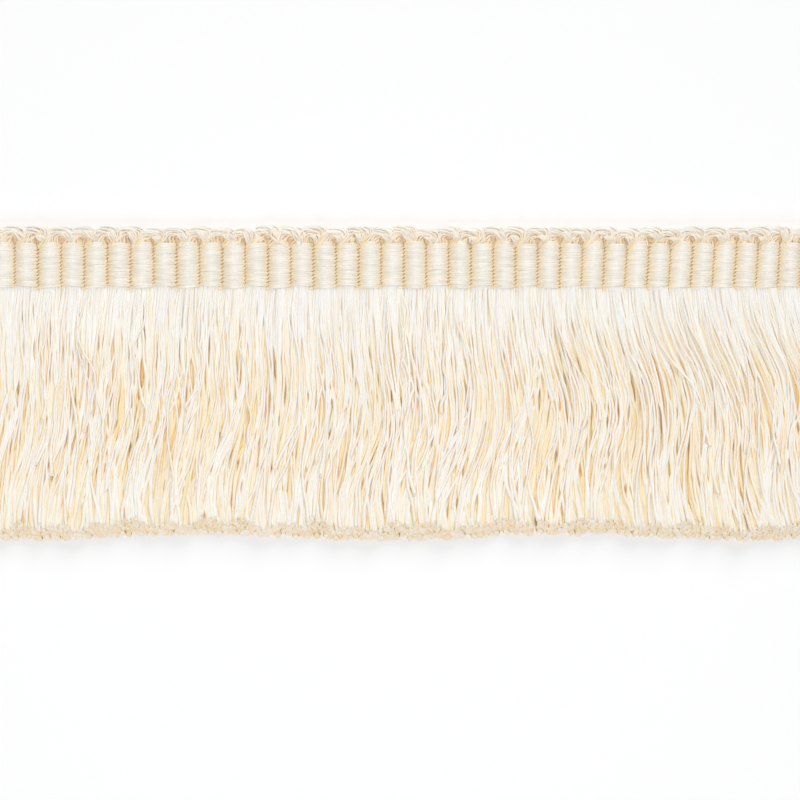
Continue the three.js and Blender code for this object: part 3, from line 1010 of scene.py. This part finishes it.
def spun_yarn_group():
    """Spun yarn: lights and shades it along its filaments, golden where it lies deep as painted shade, tan
    where cut.
    """
    tree = bpy.data.node_groups.new("spun_yarn", "ShaderNodeTree")
    for direction, kind, names in (
        ("INPUT", "NodeSocketColor", ("Light", "GoldenShade", "Cut")),
        ("INPUT", "NodeSocketFloat", ("Filaments", "Twist", "Streaks")),
        ("OUTPUT", "NodeSocketColor", ("Color",)),
        ("OUTPUT", "NodeSocketFloat", ("Height", "Roughness")),
    ):
        for name in names:
            tree.interface.new_socket(name=name, in_out=direction, socket_type=kind)
    plus, minus, times = (partial(math_node, tree, name) for name in ("ADD", "SUBTRACT", "MULTIPLY"))
    given = tree.nodes.new("NodeGroupInput").outputs
    result = tree.nodes.new("NodeGroupOutput").inputs

    # What the mesh says: the yarn's marks, and where on the yarn a point lies
    marks = node(tree, "ShaderNodeAttribute", attribute_name="yarn")
    parts = node(tree, "ShaderNodeSeparateColor")
    join(tree, marks.outputs["Color"], parts.inputs[0])
    is_light, golden_shade_amount, own_number = parts.outputs
    is_cut = marks.outputs["Alpha"]
    uv = node(tree, "ShaderNodeUVMap", uv_map="along_yarn")
    place = node(tree, "ShaderNodeSeparateXYZ")
    join(tree, uv.outputs[0], place.inputs[0])
    around, down = place.outputs[:2]

    # Filaments wind round the yarn, and streaks run with them
    turned = plus(around, times(down, given["Twist"]))
    wave = times(turned, times(given["Filaments"], TURN))
    filament = math_node(tree, "ABSOLUTE", math_node(tree, "SINE", wave))
    round_again = math_node(tree, "SINE", times(turned, TURN))
    streak_at = node(tree, "ShaderNodeCombineXYZ")
    fill(tree, streak_at.inputs, (
        times(round_again, STREAK_AROUND),
        times(down, STREAK_DOWN),
        times(own_number, STREAK_APART),
    ))
    noise = node(tree, "ShaderNodeTexNoise", Scale=1.6, Detail=3.0, Roughness=0.6)
    join(tree, streak_at.outputs[0], noise.inputs["Vector"])
    streak = noise.outputs["Fac"]

    # Colour: light or golden painted shade, then varied by streaks and darkened in the grooves, a painted
    # shade between filaments
    shade = times(minus(streak, 0.5), given["Streaks"])
    tinge = minus(golden_shade_amount, times(shade, STREAK_GOLDEN), clamp=True)
    base = mix_color(tree, tinge, given["Light"], given["GoldenShade"])
    groove_shade = times(minus(filament, 1.0), GROOVE_SHADE)
    plain = minus(1.0, times(golden_shade_amount, GOLDEN_PLAIN))
    uneven = times(plus(times(shade, STREAK_LIGHT), groove_shade), plain)
    light = plus(is_light, uneven, clamp=True)
    grey = node(tree, "ShaderNodeCombineColor")
    fill(tree, grey.inputs, (light, light, light))
    base = mix_color(tree, 1.0, base, grey.outputs[0], "MULTIPLY")

    # The cut: tan, with pale specks, and more of them on some yarns than on others
    speck = node(tree, "ShaderNodeTexNoise", Scale=2600.0, Detail=2.0)
    where = node(tree, "ShaderNodeTexCoord")
    join(tree, where.outputs["Object"], speck.inputs["Vector"])
    pale = times(minus(speck.outputs["Fac"], SPECK_FROM), SPECK_GROWTH)
    pale = plus(pale, own_number, clamp=True)
    tan = mix_color(tree, pale, given["Cut"], given["Light"])
    base = mix_color(tree, times(is_cut, CUT_COVER), base, tan)

    join(tree, base, result["Color"])
    join(tree, plus(filament, times(streak, STREAK_HEIGHT)), result["Height"])
    join(tree, plus(ROUGHNESS, times(streak, STREAK_ROUGHNESS)), result["Roughness"])
    return tree


def yarn_material(name, group, gloss, sheen, **look):
    """A yarn's material: the spun yarn group with this yarn's look, under a soft cloth sheen."""
    material = bpy.data.materials.new(name)
    material.use_nodes = True
    tree = material.node_tree
    shader = tree.nodes["Principled BSDF"]
    spun = node(tree, "ShaderNodeGroup", node_tree=group)
    for socket, value in look.items():
        spun.inputs[socket].default_value = value
    bump = node(tree, "ShaderNodeBump", Strength=FILAMENT_BUMP, Distance=FILAMENT_DEPTH)
    join(tree, spun.outputs["Color"], shader.inputs["Base Color"])
    join(tree, spun.outputs["Roughness"], shader.inputs["Roughness"])
    join(tree, spun.outputs["Height"], bump.inputs["Height"])
    join(tree, bump.outputs[0], shader.inputs["Normal"])
    shader.inputs["Specular IOR Level"].default_value = gloss
    shader.inputs["Sheen Weight"].default_value = sheen
    shader.inputs["Sheen Roughness"].default_value = SHEEN_ROUGHNESS
    shader.inputs["Sheen Tint"].default_value = SHEEN_TINT
    return material


# Table, light and camera

TABLE_HALF = 1.5
TABLE_BELOW = 0.1 * MM
TABLE_WHITE = (0.978, 0.979, 0.984, 1)
TABLE_ROUGHNESS = 0.9
TABLE_GLOSS = 0.1
SKY = (0.965, 0.985, 1.0, 1)
SKY_STRENGTH = 0.283
# Place, width, power and tint
LAMPS = {
    "key_light": ((2.4, 7.2, 3.1), 2.8, 350.0, (1.0, 0.98, 0.955)),
    "overhead_light": ((0.0, -0.05, 1.15), 0.12, 5.6, (1.0, 1.0, 1.0)),
    "fill_light": ((-0.8, -2.4, 1.6), 1.6, 23.0, (1.0, 1.0, 1.0)),
}
LAMPS_AIM = (0.0, -0.03, 0.0)
# The width that the picture shows, at the height above the table at which it shows it
SEEN_WIDE = 0.26
SEEN_HEIGHT = 0.003
CAMERA_X = 0.0017
CAMERA_Y = -0.0437
FOCAL_LENGTH = 100
SENSOR_WIDE = 36
BOUNCES = 24


def white_table():
    """A flat white table, just below the trim so that the two never share a surface."""
    mesh = bpy.data.meshes.new("table")
    corners = [(x * TABLE_HALF, y * TABLE_HALF, 0) for x, y in ((-1, -1), (1, -1), (1, 1), (-1, 1))]
    mesh.from_pydata(corners, [], [(0, 1, 2, 3)])
    table = bpy.data.objects.new("table", mesh)
    bpy.context.scene.collection.objects.link(table)
    table.location.z = -TABLE_BELOW
    white = bpy.data.materials.new("white_table")
    white.use_nodes = True
    shader = white.node_tree.nodes["Principled BSDF"]
    shader.inputs["Base Color"].default_value = TABLE_WHITE
    shader.inputs["Roughness"].default_value = TABLE_ROUGHNESS
    shader.inputs["Specular IOR Level"].default_value = TABLE_GLOSS
    mesh.materials.append(white)


def sky_and_lamps():
    """A pale sky, a key light from beyond the loops and to the right, a small light overhead and a
    fill from the skirt's side and the left, all aimed at the skirt.
    """
    scene = bpy.context.scene
    world = bpy.data.worlds.new("pale_sky")
    world.use_nodes = True
    background = world.node_tree.nodes["Background"]
    background.inputs["Color"].default_value = SKY
    background.inputs["Strength"].default_value = SKY_STRENGTH
    scene.world = world
    for name, (place, width, power, tint) in LAMPS.items():
        light = bpy.data.lights.new(name, "AREA")
        light.size = width
        light.energy = power
        light.color = tint
        lamp = bpy.data.objects.new(name, light)
        lamp.location = place
        aim = np.array(LAMPS_AIM) - np.array(place)
        lamp.rotation_euler = Vector(aim).to_track_quat("-Z", "Y").to_euler()
        scene.collection.objects.link(lamp)


def camera():
    """Straight above the trim's middle, as high as its lens needs to see the width that it shows."""
    scene = bpy.context.scene
    lens = bpy.data.cameras.new("camera")
    lens.lens = FOCAL_LENGTH
    lens.sensor_width = SENSOR_WIDE
    seen = bpy.data.objects.new("camera", lens)
    seen.location = (CAMERA_X, CAMERA_Y, SEEN_HEIGHT + SEEN_WIDE * FOCAL_LENGTH / SENSOR_WIDE)
    scene.collection.objects.link(seen)
    scene.camera = seen
    scene.view_settings.view_transform = "Standard"
    scene.cycles.max_bounces = BOUNCES
    scene.cycles.diffuse_bounces = BOUNCES


def main():
    """Dresses the part: stage, pieces and finishes, then hides the part's pieces that they stand for."""
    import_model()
    camera()
    white_table()
    sky_and_lamps()
    rng = np.random.default_rng(YARN_SEED)
    core = core_piece()
    warp = [warp_piece("warp_odd", 0, rng), warp_piece("warp_even", 1, rng)]
    loops = loops_piece(rng)
    skirt = skirt_pieces(rng)
    group = spun_yarn_group()
    for finish, pieces in (("satin_warp", (core, *warp)), ("loop_yarn", (loops,)), ("skirt_yarn", skirt)):
        material = yarn_material(finish, group, **YARNS[finish])
        for piece in pieces:
            piece.data.materials.append(material)
    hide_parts("heading")
    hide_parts("loop_edge")
    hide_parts("skirt")


main()
